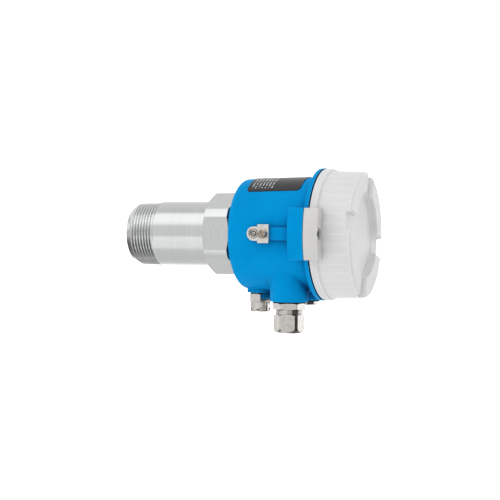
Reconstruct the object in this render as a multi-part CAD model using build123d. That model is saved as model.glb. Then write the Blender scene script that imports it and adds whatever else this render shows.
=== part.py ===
from build123d import *
import os
from math import atan, degrees

# Microwave barrier sensor: a stainless process connection with a flush microwave window,
# screwed into a cast aluminium housing that a large screw cover closes.
# Lengths are millimetres. X runs along the sensor from the window to the cover, and Z is up.
# The origin is the middle of the window face, at the tip of the process thread.

os.makedirs("parts", exist_ok=True)

# Clearances, and how far a cutting shape runs past the face it opens
fit_gap = 0.05
loose_gap = 0.15
overcut = 1.0

# Process connection
neck_radius = 24.0
thread_length = 23.0
thread_taper = 1 / 16
thread_pitch = 2.309
thread_depth = 1.48
thread_mouth_share = 0.40
thread_root_share = 0.12
thread_overcut = 0.5
thread_runout_turns = 0.4
nose_radius = 20.6
nose_length = 6.0
neck_length = 40.6
hex_flats = 55.0
hex_corner_rise = 2.5
hex_length = 20.0
hex_chamfer = 1.3
spigot_radius = 19.0
spigot_wall = 3.0
lip_length = 2.5
lip_width = 2.4
spigot_overhang = 2.2
process_seal_thickness = 3.2
process_seal_width = 9.0

# Microwave window and its seal
window_flange_length = 6.5
window_groove_width = 3.0
window_groove_depth = 2.0
lens_length = 25.0
lens_gap = 0.7
lens_tip_radius = 1.5

# Microwave horn, module and lead
horn_length = 49.0
horn_mouth_wall = 3.8
horn_throat_length = 8.0
waveguide_radius = 4.8
module_length = 26.0
module_gap = 0.4
module_waveguide_depth = 12.0
module_board_gap = 0.7
board_thickness = 1.6
retainer_length = 4.0
retainer_width = 2.5
retainer_slot_width = 2.0
lead_radius = 1.6

# Housing
can_length = 61.4
cavity_radius = 36.5
can_wall = 4.5
can_draft = 1.0
can_edge_round = 4.5
back_wall = 6.0
mouth_step = 1.6
mouth_depth = 14.0
flange_width = 9.3
flange_thickness = 3.1
flange_flare_share = 0.4
flange_edge_round = 0.9
casting_round = 0.8
locknut_width = 7.0
locknut_length = 6.0
locknut_slot_width = 5.0
locknut_slot_depth = 2.5
locknut_slot_count = 4

# Cable entries under the housing
entry_x = 126.6
entry_y = 17.0
entry_thread_radius = 10.0
entry_thread_depth = 9.9
entry_boss_wall = 3.5
entry_boss_draft = 0.8
entry_boss_height = 6.9
entry_boss_fillet = 1.8
entry_passage_radius = 7.4

# Seat of the pressure vent under the housing
vent_x = 98.9
vent_seat_radius = 9.6
vent_seat_height = 1.6
vent_seat_fillet = 1.0
vent_thread_radius = 6.0
vent_hole_depth = 10.0

# Clamp pad on the near side of the housing, and the rib to the earth terminal
pad_rise = 9.1
pad_half_height = 17.7
pad_length = 11.0
pad_round = 1.0
pad_hole_floor = 2.0
rib_half_height = 4.4
rib_rise = 3.6
rib_round = 1.2
terminal_seat_rise = 1.4

# Screw cover
cover_gap = 0.8
cover_length = 29.5
cover_bead_setback = 0.4
cover_bead_length = 5.9
cover_bead_round = 1.4
cover_wall_step = 1.5
cover_wall_draft = 0.8
cover_end_round = 2.2
cover_wall = 3.8
cover_end_wall = 3.0
cover_rim_width = 14.1
cover_rim_round = 0.6
cover_recess_depth = 5.0
cover_recess_draft = 0.4
cover_recess_round = 0.8
cover_facets = 40
cover_facet_width = 10.1
cover_notch_count = 4
cover_notch_width = 13.4
cover_notch_depth = 4.2
cover_notch_turn = 12.7
cover_notch_run_in = 3.0
cover_notch_round = 1.0
cover_notch_flare = 1.4
cover_spigot_length = 12.0
cover_spigot_wall = 3.2
cover_spigot_chamfer = 0.8
cover_seal_setback = 1.5
cover_inner_round = 1.5
cover_lug_wall = 2.4

# Cover clamp and its screw
clamp_length = 10.6
clamp_bore_gap = 0.4
clamp_edge_round = 0.8
clamp_screw_radius = 2.0
clamp_screw_point = 0.5
clamp_screw_head_radius = 4.1
clamp_screw_head_length = 4.0
clamp_screw_head_round = 0.4
clamp_screw_reach = 13.0
clamp_counterbore_depth = 5.6
socket_flats = 3.6
socket_depth = 2.2

# Nameplate
nameplate_start = 97.3
nameplate_length = 39.5
nameplate_half_width = 27.2
nameplate_thickness = 0.5
nameplate_corner = 2.5

# External earth terminal
earth_screw_x = 116.9
earth_tab_length = 17.4
earth_tab_half_height = 4.9
earth_tab_thickness = 1.5
earth_tab_disc_radius = 3.6
earth_tab_disc_depth = 0.3
earth_clamp_length = 8.6
earth_clamp_height = 12.9
earth_clamp_thickness = 1.2
earth_clamp_standoff = 1.6
earth_clamp_fold_share = 0.8
earth_screw_radius = 2.0
earth_screw_head_radius = 3.3
earth_screw_head_length = 2.4
earth_screw_head_round = 0.8
earth_screw_slot = 1.0
earth_screw_slot_share = 0.65
earth_screw_turn = 20.0
earth_screw_depth = 4.4
earth_hole_spare = 0.5
spring_washer_thickness = 1.0
spring_washer_split = 0.6

# Pressure vent
vent_seal_thickness = 0.8
vent_seal_setback = 0.3
vent_hex_flats = 15.0
vent_hex_corner_rise = 1.2
vent_hex_chamfer = 0.5
vent_hex_length = 6.0
vent_hex_turn = 12.0
vent_thread_length = 5.6
vent_bore_radius = 2.5
vent_neck_radius = 5.6
vent_neck_length = 4.6
vent_cap_radius = 7.5
vent_cap_length = 7.0
vent_cap_wall = 1.3
vent_cap_round = 0.9
vent_slot_count = 6
vent_slot_width = 1.6
vent_slot_height = 1.4
vent_slot_turn = 40.0
membrane_thickness = 0.6

# Cable gland
gland_seal_thickness = 0.9
gland_seal_width = 1.8
gland_hex_rise = 0.3
gland_hex_corner_rise = 1.5
gland_hex_chamfer = 0.6
gland_hex_length = 4.7
gland_hex_turn = -16.0
gland_thread_length = 9.0
gland_bore_radius = 6.2
gland_neck_step = 0.8
gland_neck_length = 8.2
gland_cup_wall = 1.4
gland_nut_gap = 3.6
gland_nut_length = 13.0
gland_nut_corner_rise = 0.9
gland_nut_chamfer = 0.6
gland_nut_round = 3.6
gland_nut_wall = 0.8
gland_nut_mouth_radius = 6.3
gland_nut_end_wall = 3.4
gland_insert_length = 11.6
gland_insert_bore_radius = 4.2
gland_insert_taper = 1.0
gland_claw_length = 4.6
gland_claw_wall = 1.1
gland_claw_slits = 6
gland_claw_slit_width = 1.0
gland_claw_root = 1.0

# Blanking plug
plug_head_rise = 0.9
plug_head_length = 2.5
plug_head_round = 0.6
plug_socket_flats = 10.0
plug_socket_depth = 6.0
plug_floor = 2.0

# Electronics insert, held on posts cast into the housing
post_count = 3
post_inset = 5.5
post_radius = 3.6
post_length = 10.2
insert_gap = 0.7
insert_length = 13.0
insert_skirt = 2.0
deck_thickness = 3.0
column_radius = 4.2
insert_screw_radius = 2.0
insert_screw_head_radius = 3.5
insert_screw_head_length = 2.6
insert_screw_head_round = 0.6
insert_screw_slot_width = 1.0
insert_screw_slot_depth = 1.2
insert_screw_grip = 6.0
insert_hole_spare = 1.0
insert_board_inset = 9.8
insert_board_drop = 5.0
standoff_radius = 2.5
standoff_inset = 6.0
standoff_turn = 30.0

# Controls and terminals on the insert's deck
terminal_pitch = 5.0
terminal_count = 6
terminal_block_height = 11.0
terminal_block_length = 12.0
terminal_block_margin = 1.0
terminal_block_chamfer = 1.0
terminal_block_z = -9.5
terminal_wire_radius = 1.5
terminal_screw_radius = 1.7
terminal_screw_depth = 3.0
terminal_screw_sink = 1.0
terminal_slot_width = 0.7
terminal_slot_depth = 0.8
knob_radius = 4.5
knob_length = 5.5
knob_y = 15.0
knob_z = 11.0
knob_round = 0.6
knob_collar = 1.0
knob_slot_width = 1.2
knob_slot_share = 0.75
knob_slot_depth = 1.6
knob_pointer_width = 0.8
knob_pointer_depth = 0.7
switch_count = 4
switch_pitch = 2.54
switch_block_height = 6.6
switch_block_length = 4.0
switch_block_margin = 0.6
switch_z = 22.0
switch_travel = 2.0
slider_size = 1.2
slider_length = 1.6
light_radius = 1.6
light_length = 2.4
light_round = 1.1
light_z = 11.0

# Radii that follow from the sizes above
hex_corner_radius = hex_flats / 2 + hex_corner_rise
spigot_bore_radius = spigot_radius - spigot_wall
lip_bore_radius = spigot_bore_radius - lip_width
horn_mouth_radius = spigot_bore_radius - horn_mouth_wall
lens_radius = horn_mouth_radius - lens_gap
module_radius = spigot_bore_radius - module_gap
retainer_bore_radius = spigot_bore_radius - retainer_width
module_board_radius = retainer_bore_radius - module_board_gap
locknut_radius = spigot_radius + locknut_width
can_front_radius = cavity_radius + can_wall
can_back_radius = can_front_radius - can_draft
mouth_radius = cavity_radius + mouth_step
flange_radius = mouth_radius + flange_width
flange_flare = flange_flare_share * (flange_radius - can_front_radius)
entry_boss_radius = entry_thread_radius + entry_boss_wall
entry_boss_drop = can_front_radius + entry_boss_height
vent_seat_drop = can_front_radius + vent_seat_height
pad_radius = flange_radius + pad_rise
rib_reach = can_front_radius + rib_rise
terminal_seat_reach = can_front_radius + terminal_seat_rise
cover_bead_radius = flange_radius - cover_bead_setback
cover_wall_radius = cover_bead_radius - cover_wall_step
cover_end_radius = cover_wall_radius - cover_wall_draft
cover_recess_radius = cover_end_radius - cover_rim_width
clamp_bore_radius = cover_bead_radius + clamp_bore_gap
clamp_screw_orbit = (clamp_bore_radius + pad_radius) / 2
gland_hex_flats = 2 * (entry_thread_radius + gland_hex_rise)
gland_neck_radius = entry_thread_radius - gland_neck_step
gland_cup_radius = gland_neck_radius - gland_cup_wall
gland_nut_flats = 2 * (gland_neck_radius + gland_nut_wall)
gland_nut_radius = gland_nut_flats / 2 + gland_nut_corner_rise
plug_head_radius = entry_thread_radius + plug_head_rise
post_orbit = cavity_radius - post_inset
insert_radius = cavity_radius - insert_gap
insert_board_radius = insert_radius - insert_board_inset
standoff_orbit = insert_board_radius - standoff_inset

# Stations along X, and along each cable entry, that follow from the sizes above
gland_hex_end = gland_seal_thickness + gland_hex_length
gland_neck_end = gland_hex_end + gland_neck_length
gland_nut_start = gland_hex_end + gland_nut_gap
hex_start = thread_length + neck_length
hex_end = hex_start + hex_length
back_face = hex_end + process_seal_thickness
cavity_floor = back_face + back_wall
flange_face = back_face + can_length
flange_back = flange_face - flange_thickness
locknut_end = cavity_floor + locknut_length
spigot_end = locknut_end + spigot_overhang
window_back = lip_length + window_flange_length
horn_end = window_back + horn_length
module_end = horn_end + module_length
insert_back = cavity_floor + post_length
deck_face = insert_back + insert_length
deck_back = deck_face - deck_thickness
insert_board_face = deck_back - insert_board_drop
cover_rim = flange_face + cover_gap
cover_end = cover_rim + cover_length
bead_end = cover_rim + cover_bead_length
clamp_back = flange_face + loose_gap
clamp_front = clamp_back + clamp_length
post_angles = [90 + 360 * number / post_count for number in range(post_count)]


def turned(points, rounds=None):
    """A solid turned about X. Points are (x, radius); rounds gives point numbers a rounding."""
    outline = make_face(Polyline([(x, 0, r) for x, r in points], close=True)).face()
    for number, radius in (rounds or {}).items():
        x, r = points[number]
        corner = outline.vertices().sort_by_distance((x, 0, r))[0]
        outline = outline.fillet_2d(radius, [corner])
    return revolve(outline, Axis.X)


def ring(x_start, x_end, inner_radius, outer_radius):
    """A plain ring or, with no inner radius, a disc about X."""
    corners = [(x_start, inner_radius), (x_start, outer_radius)]
    corners += [(x_end, outer_radius), (x_end, inner_radius)]
    return turned(corners)


def hexagon(across_flats, x_start, x_end, turn=0.0):
    """A hexagonal bar along X. At turn 0 two flats face along Y."""
    place = Plane.YZ.offset(x_start) * Rot(0, 0, turn)
    outline = place * RegularPolygon(across_flats / 2, 6, major_radius=False, rotation=30)
    return extrude(outline, x_end - x_start)


def block(x_start, x_end, y_start, y_end, z_start, z_end):
    """A box given by its two corners."""
    size = Box(x_end - x_start, y_end - y_start, z_end - z_start)
    return Pos((x_start + x_end) / 2, (y_start + y_end) / 2, (z_start + z_end) / 2) * size


def around_x(shape, angles):
    """Copies of a shape turned about X. Angle 0 is +Y and 90 is +Z."""
    return [Rot(angle, 0, 0) * shape for angle in angles]


def evenly(count, first=0.0):
    """Evenly spaced angles round a circle."""
    return [first + 360 * number / count for number in range(count)]


def downwards(shape, x, y, z):
    """A shape made along X, placed to point down from a point."""
    return Pos(x, y, z) * Rot(0, 90, 0) * shape


def sideways(shape, x, reach):
    """A shape made along X, placed to point out of the near side."""
    return Pos(x, -reach, 0) * Rot(0, 0, -90) * shape


def can_radius(x):
    """Outside radius of the housing's drafted wall."""
    return can_back_radius + can_draft * (x - back_face) / (flange_back - back_face)


def thread_radius(x):
    """Crest radius of the taper thread."""
    return neck_radius - (thread_length - x) * thread_taper / 2


def thread_groove(start, turns, rise=0.0):
    """One stretch of the helical groove. Rise lifts its end out of the metal at the run-out."""
    length = turns * thread_pitch
    cone_angle = degrees(atan(thread_taper / 2 + rise / length))
    mouth = thread_mouth_share * thread_pitch
    root = thread_root_share * thread_pitch
    outside = mouth + (mouth - root) / thread_depth * thread_overcut
    section = [(-outside, thread_overcut), (-root, -thread_depth), (root, -thread_depth)]
    section += [(outside, thread_overcut)]
    rails = [
        Helix(
            pitch=thread_pitch,
            height=length,
            radius=thread_radius(start) + height,
            center=(start + offset, 0, 0),
            direction=(1, 0, 0),
            cone_angle=cone_angle,
        )
        for offset, height in section
    ]
    flanks = [
        Face.make_surface_from_curves(rails[number - 1].edge(), rails[number].edge())
        for number in range(len(rails))
    ]
    ends = [
        make_face(Polyline([rail.position_at(end) for rail in rails], close=True)).face() for end in (0, 1)
    ]
    return Solid(Shell(flanks + ends))


def make_thread_grooves():
    """The whole groove, turn by turn, and its run-out at the neck."""
    turns = int(thread_length / thread_pitch) + 1
    last = thread_length - thread_mouth_share * thread_pitch
    grooves = [thread_groove(last - (turn + 1) * thread_pitch, 1.0) for turn in range(turns)]
    return grooves + [thread_groove(last, thread_runout_turns, thread_depth + thread_overcut)]


# Process connection: window pocket, taper thread, neck, wrench hexagon and housing spigot
def make_process_connection():
    blank = turned(
        [
            (0, 0),
            (0, nose_radius),
            (nose_length, thread_radius(nose_length)),
            (thread_length, neck_radius),
            (hex_end, neck_radius),
            (hex_end, spigot_radius),
            (spigot_end, spigot_radius),
            (spigot_end, 0),
        ]
    )
    flats_radius = hex_flats / 2
    corner_turning = turned(
        [
            (hex_start, 0),
            (hex_start, flats_radius + fit_gap),
            (hex_start + hex_chamfer, hex_corner_radius),
            (hex_end - hex_chamfer, hex_corner_radius),
            (hex_end, flats_radius + fit_gap),
            (hex_end, 0),
        ]
    )
    wrench = hexagon(hex_flats, hex_start, hex_end) & corner_turning
    bore = ring(-overcut, lip_length, 0, lip_bore_radius)
    bore += ring(lip_length, spigot_end + overcut, 0, spigot_bore_radius)
    body = blank + wrench - bore
    for groove in make_thread_grooves():
        body -= groove
    return body


def make_process_seal():
    return ring(hex_end, back_face, spigot_radius, spigot_radius + process_seal_width)


# Window: plug in the lip, sealed flange and the lens cone inside the horn
def make_antenna_window():
    flange_radius_here = spigot_bore_radius - fit_gap
    groove_start = lip_length + (window_flange_length - window_groove_width) / 2
    groove_end = groove_start + window_groove_width
    groove_radius = flange_radius_here - window_groove_depth
    return turned(
        [
            (0, 0),
            (0, lip_bore_radius - fit_gap),
            (lip_length, lip_bore_radius - fit_gap),
            (lip_length, flange_radius_here),
            (groove_start, flange_radius_here),
            (groove_start, groove_radius),
            (groove_end, groove_radius),
            (groove_end, flange_radius_here),
            (window_back, flange_radius_here),
            (window_back, lens_radius),
            (window_back + lens_length, lens_tip_radius),
            (window_back + lens_length, 0),
        ]
    )


def make_window_seal():
    groove_radius = spigot_bore_radius - fit_gap - window_groove_depth
    cord_radius = (spigot_bore_radius - groove_radius) / 2
    middle = lip_length + window_flange_length / 2
    return Pos(middle, 0, 0) * Rot(0, 90, 0) * Torus(groove_radius + cord_radius, cord_radius)


# Microwave path behind the window
def make_antenna_horn():
    outside = spigot_bore_radius - fit_gap
    throat = horn_end - horn_throat_length
    return turned(
        [
            (window_back, horn_mouth_radius),
            (window_back, outside),
            (horn_end, outside),
            (horn_end, waveguide_radius),
            (throat, waveguide_radius),
        ]
    )


def make_microwave_module():
    case = ring(horn_end, module_end, 0, module_radius)
    return case - ring(horn_end - overcut, horn_end + module_waveguide_depth, 0, waveguide_radius)


def make_module_board():
    return ring(module_end, module_end + board_thickness, 0, module_board_radius)


def make_module_retainer():
    outside = spigot_bore_radius - fit_gap
    body = ring(module_end, module_end + retainer_length, retainer_bore_radius, outside)
    slot = block(
        module_end + retainer_length / 2,
        module_end + retainer_length + overcut,
        0,
        outside + overcut,
        -retainer_slot_width / 2,
        retainer_slot_width / 2,
    )
    return body - around_x(slot, evenly(2))


def make_signal_lead():
    return ring(module_end + board_thickness, insert_board_face - board_thickness, 0, lead_radius)


# Housing: one casting with its cable bosses, vent seat, clamp pad, rib and inner posts
def make_entry_boss():
    depth = entry_boss_drop - can_back_radius / 2
    return turned(
        [
            (0, 0),
            (0, entry_boss_radius + entry_boss_draft),
            (depth, entry_boss_radius),
            (depth, 0),
        ],
        {2: casting_round},
    )


def make_clamp_pad():
    body = ring(flange_face - pad_length, flange_face, mouth_radius, pad_radius)
    window = block(0, cover_end, -2 * pad_radius, 0, -pad_half_height, pad_half_height)
    pad = body & window
    corners = pad.edges().filter_by_position(
        Axis.X, flange_face - pad_length - fit_gap, flange_face - pad_length + fit_gap
    )
    outer = corners.filter_by(lambda edge: edge.center().Y < -flange_radius)
    return fillet(outer, pad_round)


def make_terminal_seat():
    start = earth_screw_x + earth_clamp_length / 2 - earth_tab_length + earth_tab_half_height
    end = earth_screw_x + earth_clamp_length / 2
    seat = block(
        start, end, -terminal_seat_reach, -cavity_radius, -earth_tab_half_height, earth_tab_half_height
    )
    round_end = Pos(start, -(terminal_seat_reach + cavity_radius) / 2, 0) * Rot(90, 0, 0)
    round_end *= Cylinder(earth_tab_half_height, terminal_seat_reach - cavity_radius)
    return seat + round_end


def cast_on(casting, feature, radius):
    """Joins a feature to the casting with a fillet along the line where they meet."""
    joined = casting + feature
    meeting_line = new_edges(casting, feature, combined=joined).filter_by(GeomType.LINE, reverse=True)
    return fillet(meeting_line, radius)


def make_housing():
    can = turned(
        [
            (back_face, 0),
            (back_face, can_back_radius),
            (flange_back, can_front_radius),
            (flange_back, flange_radius),
            (flange_face, flange_radius),
            (flange_face, 0),
        ],
        {1: can_edge_round, 2: flange_flare, 3: flange_edge_round},
    )
    boss = make_entry_boss()
    boss_top = -can_back_radius / 2
    for side in (-1, 1):
        can = cast_on(can, downwards(boss, entry_x, side * entry_y, boss_top), entry_boss_fillet)
    vent_seat = ring(0, vent_seat_drop - cavity_radius, 0, vent_seat_radius)
    can = cast_on(can, downwards(vent_seat, vent_x, 0, -cavity_radius), vent_seat_fillet)
    can += make_clamp_pad()
    rib_start = earth_screw_x + earth_clamp_length / 2
    rib = block(rib_start, flange_back, -rib_reach, -cavity_radius, -rib_half_height, rib_half_height)
    outer_edges = rib.edges().filter_by(Axis.X).filter_by(lambda edge: edge.center().Y < -cavity_radius)
    can += fillet(outer_edges, rib_round)
    can += make_terminal_seat()
    cavity = turned(
        [
            (cavity_floor, 0),
            (cavity_floor, cavity_radius),
            (flange_face - mouth_depth, cavity_radius),
            (flange_face - mouth_depth, mouth_radius),
            (flange_face + overcut, mouth_radius),
            (flange_face + overcut, 0),
        ]
    )
    posts = around_x(
        Pos(0, post_orbit, 0) * ring(cavity_floor, insert_back, 0, post_radius), post_angles
    )
    can -= cavity
    can += posts
    can -= ring(back_face - overcut, cavity_floor + overcut, 0, spigot_radius + fit_gap)
    screw_hole_start = insert_back - insert_screw_grip - insert_hole_spare
    screw_hole = Pos(0, post_orbit, 0) * ring(
        screw_hole_start, insert_back + overcut, 0, insert_screw_radius + fit_gap
    )
    can -= around_x(screw_hole, post_angles)
    entry_hole = ring(-entry_thread_depth, overcut, 0, entry_thread_radius)
    entry_hole += ring(-entry_boss_drop / 2, 0, 0, entry_passage_radius)
    for side in (-1, 1):
        can -= downwards(entry_hole, entry_x, side * entry_y, -entry_boss_drop)
    vent_hole = ring(-vent_hole_depth, overcut, 0, vent_thread_radius)
    can -= downwards(vent_hole, vent_x, 0, -vent_seat_drop)
    earth_hole = ring(-earth_screw_depth, overcut, 0, earth_screw_radius + fit_gap)
    can -= sideways(earth_hole, earth_screw_x, terminal_seat_reach)
    clamp_hole_start = flange_face - pad_length + pad_hole_floor
    clamp_hole = ring(clamp_hole_start, flange_face + overcut, 0, clamp_screw_radius + fit_gap)
    can -= Pos(0, -clamp_screw_orbit, 0) * clamp_hole
    return can


def make_locknut():
    body = ring(cavity_floor, locknut_end, spigot_radius + fit_gap, locknut_radius)
    slot = block(
        cavity_floor - overcut,
        locknut_end + overcut,
        locknut_radius - locknut_slot_depth,
        locknut_radius + overcut,
        -locknut_slot_width / 2,
        locknut_slot_width / 2,
    )
    return body - around_x(slot, evenly(locknut_slot_count))


# Cover: threaded spigot, beaded rim, faceted grip wall and four lugs round the end recess
def make_cover():
    spigot_outer = mouth_radius - fit_gap
    spigot_inner = spigot_outer - cover_spigot_wall
    spigot_end_x = cover_rim - cover_spigot_length
    inner_wall = cover_wall_radius - cover_wall
    floor = cover_end - cover_recess_depth
    body = turned(
        [
            (spigot_end_x, spigot_inner),
            (spigot_end_x, spigot_outer - cover_spigot_chamfer),
            (spigot_end_x + cover_spigot_chamfer, spigot_outer),
            (cover_rim, spigot_outer),
            (cover_rim, cover_bead_radius),
            (bead_end, cover_bead_radius),
            (bead_end, cover_wall_radius),
            (cover_end, cover_end_radius),
            (cover_end, cover_recess_radius),
            (floor, cover_recess_radius - cover_recess_draft),
            (floor, 0),
            (floor - cover_end_wall, 0),
            (floor - cover_end_wall, inner_wall - cover_recess_draft),
            (cover_rim + cover_end_wall, inner_wall),
            (cover_rim + cover_end_wall - cover_spigot_chamfer, spigot_inner),
        ],
        {
            4: cover_bead_round / 2,
            5: cover_bead_round,
            7: cover_end_round,
            8: cover_rim_round,
            9: cover_recess_round,
            12: cover_inner_round,
        },
    )
    grip_start = Plane.YZ.offset(bead_end) * RegularPolygon(cover_wall_radius, cover_facets)
    grip_end = Plane.YZ.offset(cover_end + overcut) * RegularPolygon(cover_end_radius, cover_facets)
    grip = loft([grip_start, grip_end])
    facet_depth_start = cover_end_radius - cover_facet_width
    body -= ring(bead_end, cover_end + overcut, facet_depth_start, cover_bead_radius) - grip
    notch_floor = cover_end - cover_notch_depth
    half_notch = cover_notch_width / 2
    half_mouth = half_notch + cover_notch_flare
    notch_side = [(notch_floor, half_notch), (cover_end - cover_notch_flare, half_notch)]
    notch_side += [(cover_end, half_mouth), (cover_end + overcut, half_mouth)]
    notch_outline = [(x, 0, z) for x, z in notch_side]
    notch_outline += [(x, 0, -z) for x, z in reversed(notch_side)]
    notch_start = cover_recess_radius - cover_notch_run_in
    notch_face = make_face(Polyline(notch_outline, close=True)).face()
    notch = extrude(notch_face, cover_bead_radius + overcut - notch_start, dir=(0, 1, 0))
    notch = Pos(0, notch_start, 0) * notch
    floor_corners = notch.edges().filter_by(Axis.Y).group_by(Axis.X)[0]
    notch = fillet(floor_corners, cover_notch_round)
    notch_angles = evenly(cover_notch_count, 180 - cover_notch_turn)
    body -= around_x(notch, notch_angles)
    lug_core = ring(
        floor - cover_end_wall - overcut,
        cover_end - cover_lug_wall,
        cover_recess_radius + cover_lug_wall,
        cover_end_radius - cover_end_round - cover_lug_wall / 2,
    )
    clear = cover_notch_width / 2 + cover_lug_wall
    wall_start = floor - cover_end_wall - 2 * overcut
    gap_wall = block(wall_start, cover_end, 0, cover_bead_radius, -clear, clear)
    body -= lug_core - around_x(gap_wall, notch_angles)
    return body


def make_cover_seal():
    outside = cover_bead_radius - cover_seal_setback
    return ring(flange_face + fit_gap, cover_rim, mouth_radius + fit_gap, outside)


# Cover clamp: a block on the pad that grips the cover's rim, drawn in by one screw
def make_cover_clamp():
    body = ring(clamp_back, clamp_front, clamp_bore_radius, pad_radius)
    body &= block(0, 2 * cover_end, -2 * pad_radius, 0, -pad_half_height, pad_half_height)
    outer_reach = clamp_bore_radius + clamp_edge_round
    body = fillet(body.edges().filter_by(lambda edge: edge.center().Y < -outer_reach), clamp_edge_round)
    seat = clamp_front - clamp_counterbore_depth
    hole = ring(clamp_back - overcut, clamp_front, 0, clamp_screw_radius + loose_gap)
    hole += ring(seat, clamp_front + overcut, 0, clamp_screw_head_radius + loose_gap)
    return body - Pos(0, -clamp_screw_orbit, 0) * hole


def make_clamp_screw():
    seat = clamp_front - clamp_counterbore_depth
    head_end = seat + clamp_screw_head_length
    screw = turned(
        [
            (seat - clamp_screw_reach, 0),
            (seat - clamp_screw_reach, clamp_screw_radius - clamp_screw_point),
            (seat - clamp_screw_reach + clamp_screw_point, clamp_screw_radius),
            (seat, clamp_screw_radius),
            (seat, clamp_screw_head_radius),
            (head_end, clamp_screw_head_radius),
            (head_end, 0),
        ],
        {5: clamp_screw_head_round},
    )
    screw -= hexagon(socket_flats, head_end - socket_depth, head_end + overcut)
    return Pos(0, -clamp_screw_orbit, 0) * screw


# Nameplate: a bare plate that follows the drafted wall on top of the housing
def make_nameplate():
    nameplate_end = nameplate_start + nameplate_length
    start_radius = can_radius(nameplate_start)
    end_radius = can_radius(nameplate_end)
    shell = turned(
        [
            (nameplate_start, start_radius),
            (nameplate_start, start_radius + nameplate_thickness),
            (nameplate_end, end_radius + nameplate_thickness),
            (nameplate_end, end_radius),
        ]
    )
    plan = Pos((nameplate_start + nameplate_end) / 2, 0, 0) * RectangleRounded(
        nameplate_length - fit_gap, 2 * nameplate_half_width, nameplate_corner
    )
    return shell & extrude(plan, 2 * can_front_radius)


# Earth terminal: round-ended tab, folded clamp, spring washer and screw
def make_ground_tab():
    end = earth_screw_x + earth_clamp_length / 2
    start = end - earth_tab_length + earth_tab_half_height
    near = terminal_seat_reach + earth_tab_thickness
    tab = block(
        start, end, -near, -terminal_seat_reach, -earth_tab_half_height, earth_tab_half_height
    )
    round_end = sideways(ring(0, earth_tab_thickness, 0, earth_tab_half_height), start, terminal_seat_reach)
    tab += round_end
    disc_floor = earth_tab_thickness - earth_tab_disc_depth
    disc = ring(disc_floor, earth_tab_thickness + overcut, 0, earth_tab_disc_radius)
    tab -= sideways(disc, start, terminal_seat_reach)
    hole = ring(-overcut, earth_tab_thickness + overcut, 0, earth_screw_radius + loose_gap)
    return tab - sideways(hole, earth_screw_x, terminal_seat_reach)


def make_ground_clamp():
    tab_face = terminal_seat_reach + earth_tab_thickness
    back = tab_face + earth_clamp_standoff
    front = back + earth_clamp_thickness
    start = earth_screw_x - earth_clamp_length / 2
    end = earth_screw_x + earth_clamp_length / 2
    half = earth_clamp_height / 2
    plate = block(start, end, -front, -back, -half, half)
    plate += block(end - earth_clamp_thickness, end, -back, -tab_face - fit_gap, -half, half)
    fold = plate.edges().filter_by(Axis.Z).sort_by_distance((end, -front, 0))[0]
    plate = fillet(fold, earth_clamp_thickness * earth_clamp_fold_share)
    hole = ring(-overcut, earth_clamp_thickness + overcut, 0, earth_screw_radius + loose_gap)
    return plate - sideways(hole, earth_screw_x, back)


def make_ground_spring_washer():
    seat = terminal_seat_reach + earth_tab_thickness + earth_clamp_standoff + earth_clamp_thickness
    washer = ring(0, spring_washer_thickness, earth_screw_radius + loose_gap, earth_screw_head_radius)
    split_end = spring_washer_thickness + overcut
    half_split = spring_washer_split / 2
    washer -= block(-overcut, split_end, 0, 2 * earth_screw_head_radius, -half_split, half_split)
    return sideways(washer, earth_screw_x, seat)


def make_ground_screw():
    clamp_face = terminal_seat_reach + earth_tab_thickness + earth_clamp_standoff + earth_clamp_thickness
    seat = clamp_face + spring_washer_thickness
    shank = seat - terminal_seat_reach + earth_screw_depth - earth_hole_spare
    screw = turned(
        [
            (-shank, 0),
            (-shank, earth_screw_radius),
            (0, earth_screw_radius),
            (0, earth_screw_head_radius),
            (earth_screw_head_length, earth_screw_head_radius),
            (earth_screw_head_length, 0),
        ],
        {4: earth_screw_head_round},
    )
    slot_floor = earth_screw_head_length / 2
    slot_reach = earth_screw_head_radius * earth_screw_slot_share
    slot = block(
        slot_floor,
        earth_screw_head_length + overcut,
        -slot_reach,
        slot_reach,
        -earth_screw_slot / 2,
        earth_screw_slot / 2,
    )
    screw -= around_x(slot, (0, 90))
    return sideways(Rot(earth_screw_turn, 0, 0) * screw, earth_screw_x, seat)


# Pressure vent: hexagonal body, membrane and slotted cap
def make_vent_seal():
    seal = ring(0, vent_seal_thickness, vent_thread_radius, vent_hex_flats / 2 - vent_seal_setback)
    return downwards(seal, vent_x, 0, -vent_seat_drop)


def make_vent_body():
    hex_top = vent_seal_thickness
    hex_bottom = hex_top + vent_hex_length
    neck_end = hex_bottom + vent_neck_length
    corner_reach = vent_hex_flats / 2 + vent_hex_corner_rise
    body = ring(-vent_thread_length, hex_top, 0, vent_thread_radius - fit_gap)
    corner_turning = turned(
        [
            (hex_top, 0),
            (hex_top, vent_hex_flats / 2),
            (hex_top + vent_hex_chamfer, corner_reach),
            (hex_bottom, corner_reach),
            (hex_bottom, 0),
        ]
    )
    body += hexagon(vent_hex_flats, hex_top, hex_bottom, vent_hex_turn) & corner_turning
    body += ring(hex_bottom, neck_end, 0, vent_neck_radius)
    body -= ring(-vent_thread_length - overcut, neck_end + overcut, 0, vent_bore_radius)
    return downwards(body, vent_x, 0, -vent_seat_drop)


def make_vent_membrane():
    start = vent_seal_thickness + vent_hex_length + vent_neck_length
    disc = ring(start, start + membrane_thickness, 0, vent_neck_radius)
    return downwards(disc, vent_x, 0, -vent_seat_drop)


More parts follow.
